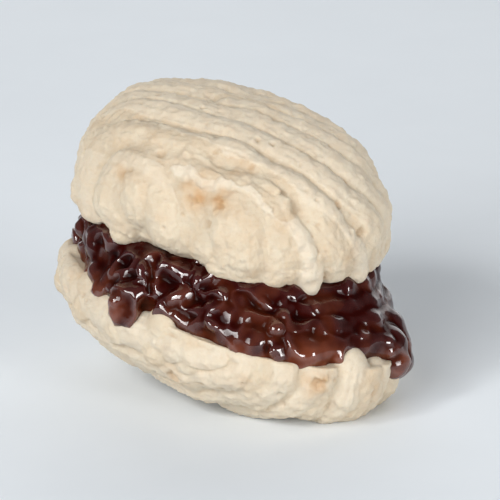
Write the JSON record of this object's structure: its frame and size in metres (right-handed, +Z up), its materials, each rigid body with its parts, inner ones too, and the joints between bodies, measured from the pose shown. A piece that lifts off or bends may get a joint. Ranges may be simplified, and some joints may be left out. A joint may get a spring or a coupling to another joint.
{
  "type": "filled butter biscuit",
  "caption": "Piped butter biscuit sandwich: domed, ridged pale shells stuck flat side to flat side with thick dark chocolate that oozes out along one edge.",
  "frame": {"origin": "on the table, under the middle of the whole part's bounding box", "axes": "+X along the biscuit towards the end that dips, +Z up, and -Y towards the side on which most of the chocolate has oozed out"},
  "size_m": [0.0424, 0.0346, 0.0336],
  "materials": {
    "dough": "matt pale baked butter dough, dry and finely pitted, a little browner on crests and crags",
    "chocolate": "glossy dark chocolate, lumpy, nearly black in the hollows and red-brown where it is thin"
  },
  "bodies": {
    "root": {"lower_biscuit": "dough", "upper_biscuit": "dough", "chocolate_filling": "chocolate"}
  },
  "joints": []
}
